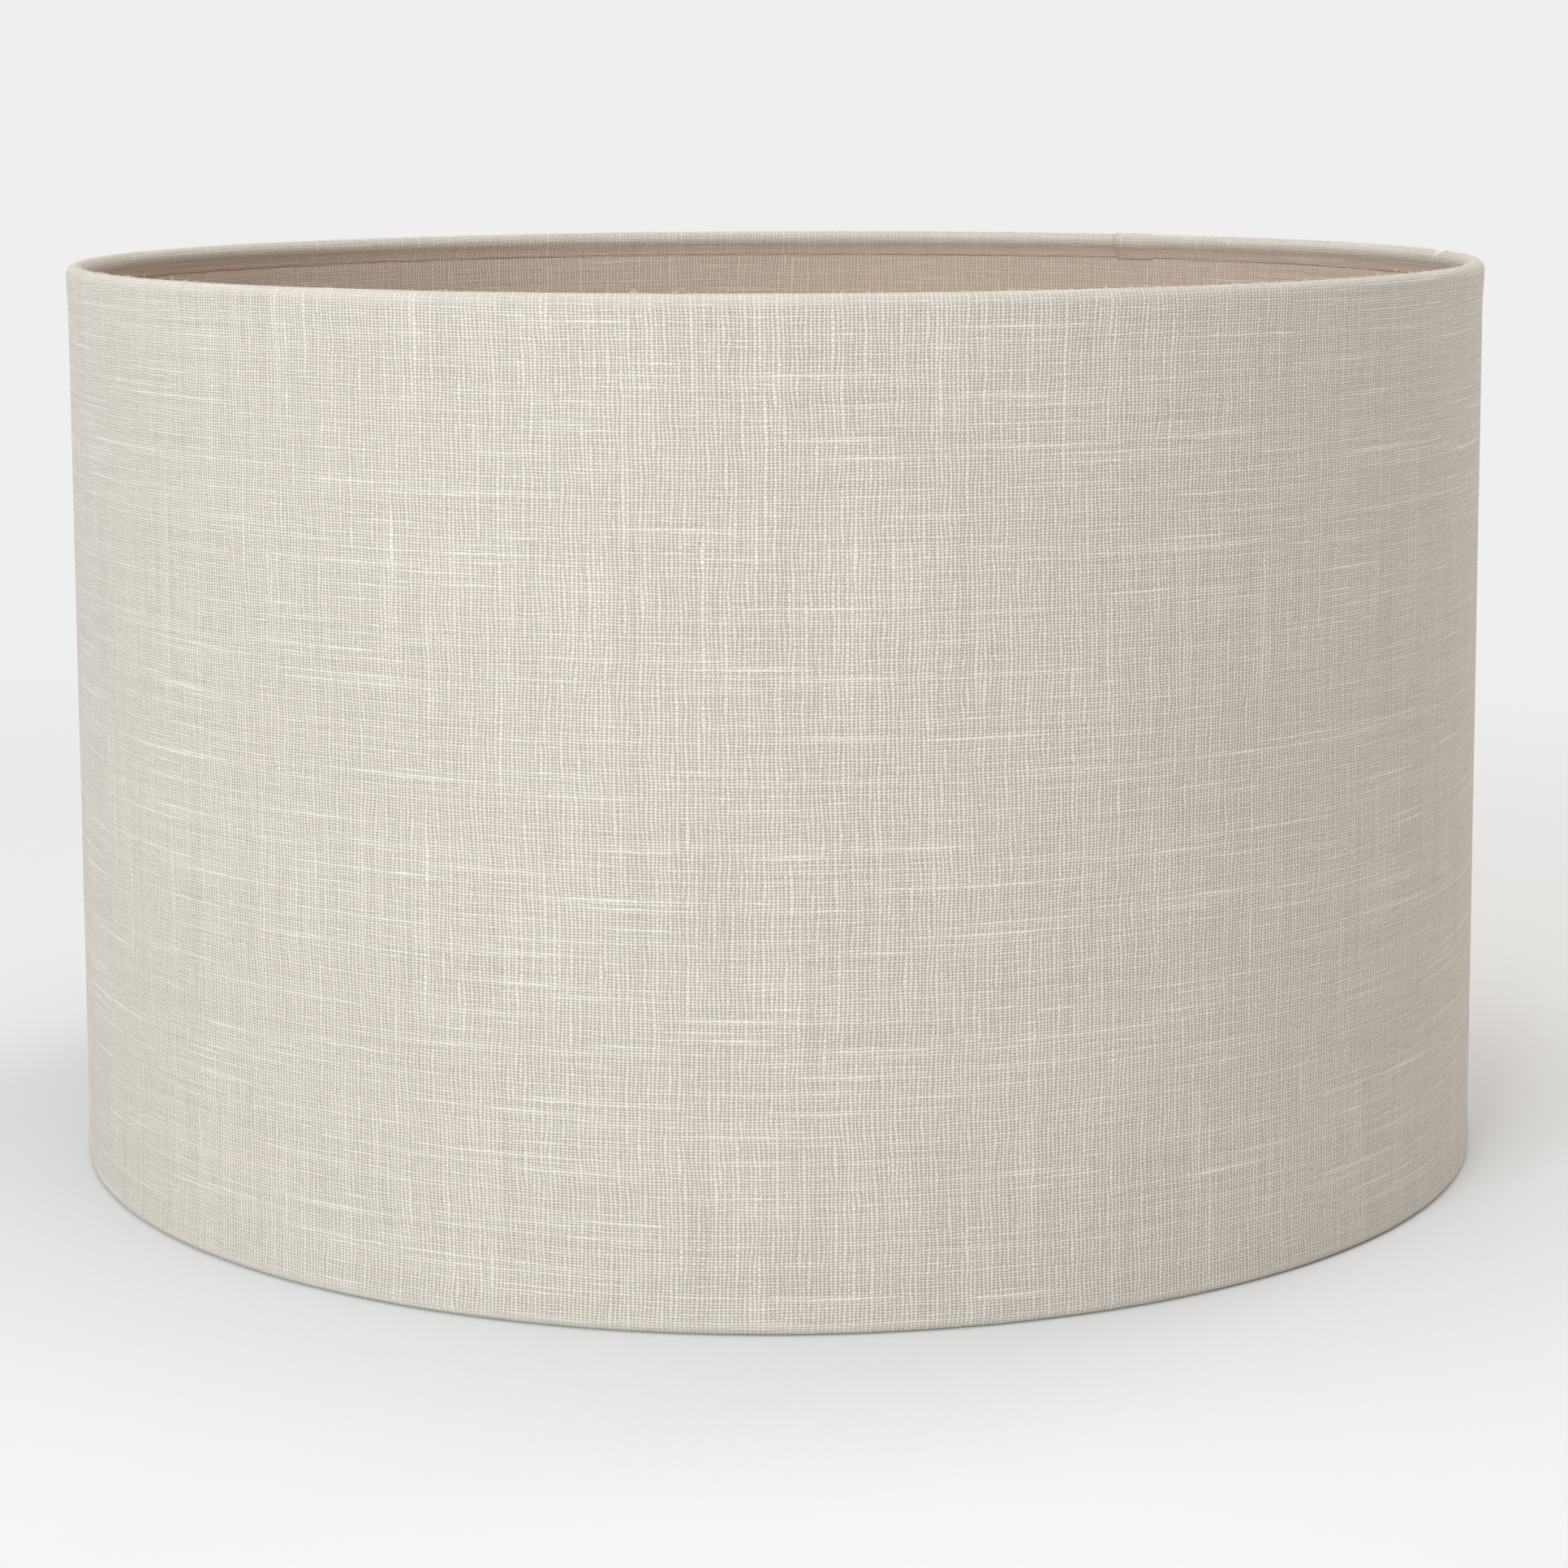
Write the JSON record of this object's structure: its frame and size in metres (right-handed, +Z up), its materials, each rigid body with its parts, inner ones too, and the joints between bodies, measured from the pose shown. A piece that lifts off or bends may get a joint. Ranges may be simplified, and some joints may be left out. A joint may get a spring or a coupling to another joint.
{
  "type": "drum lamp shade",
  "caption": "Straight-sided linen drum lamp shade with rolled edges, a linen lining, and a tilting fitter ring recessed inside its base.",
  "frame": {"origin": "centre of the circle that the bottom rim stands on, on the shade's axis", "axes": "+Z up along the shade's axis, -Y towards the front, +X to the right; the cover's seam is at the back, to the right"},
  "size_m": [0.4, 0.4, 0.252],
  "materials": {
    "linen_cover": "matt plain-weave linen with slubs, light oatmeal",
    "linen_lining": "matt plain-weave linen, the same cloth as the cover",
    "panel_film": "matt white self-adhesive styrene film",
    "tape": "translucent double-sided tape",
    "white_wire": "white powder-coated steel wire, semi-gloss",
    "white_pressing": "white powder-coated pressed steel, semi-gloss",
    "rivet_steel": "zinc-plated steel",
    "reducer_plastic": "white moulded polypropylene"
  },
  "bodies": {
    "shade": {"outer_cover": "linen_cover", "seam_tape": "tape", "backing_panel": "panel_film", "lining": "linen_lining", "bottom_ring": "white_wire", "bottom_ring_tape": "tape", "top_ring": "white_wire", "top_ring_tape": "tape", "carrier_hoop": "white_wire", "arm_back": "white_wire", "arm_front_left": "white_wire", "arm_front_right": "white_wire", "bracket_left": "white_pressing", "bracket_right": "white_pressing"},
    "gimbal": {"gimbal_ring": "white_pressing", "rivet_left": "rivet_steel", "rivet_right": "rivet_steel"},
    "reducer": {"reducer_ring": "reducer_plastic"}
  },
  "joints": [
    {"name": "gimbal_tilt", "type": "hinge", "parent": "shade", "child": "gimbal", "pos_m": [0, 0, 0.038], "axis": [1, 0, 0], "range_deg": [-25, 25]},
    {"name": "reducer_lift", "type": "slide", "parent": "gimbal", "child": "reducer", "axis": [0, 0, 1], "range_m": [0, 0.012]}
  ]
}
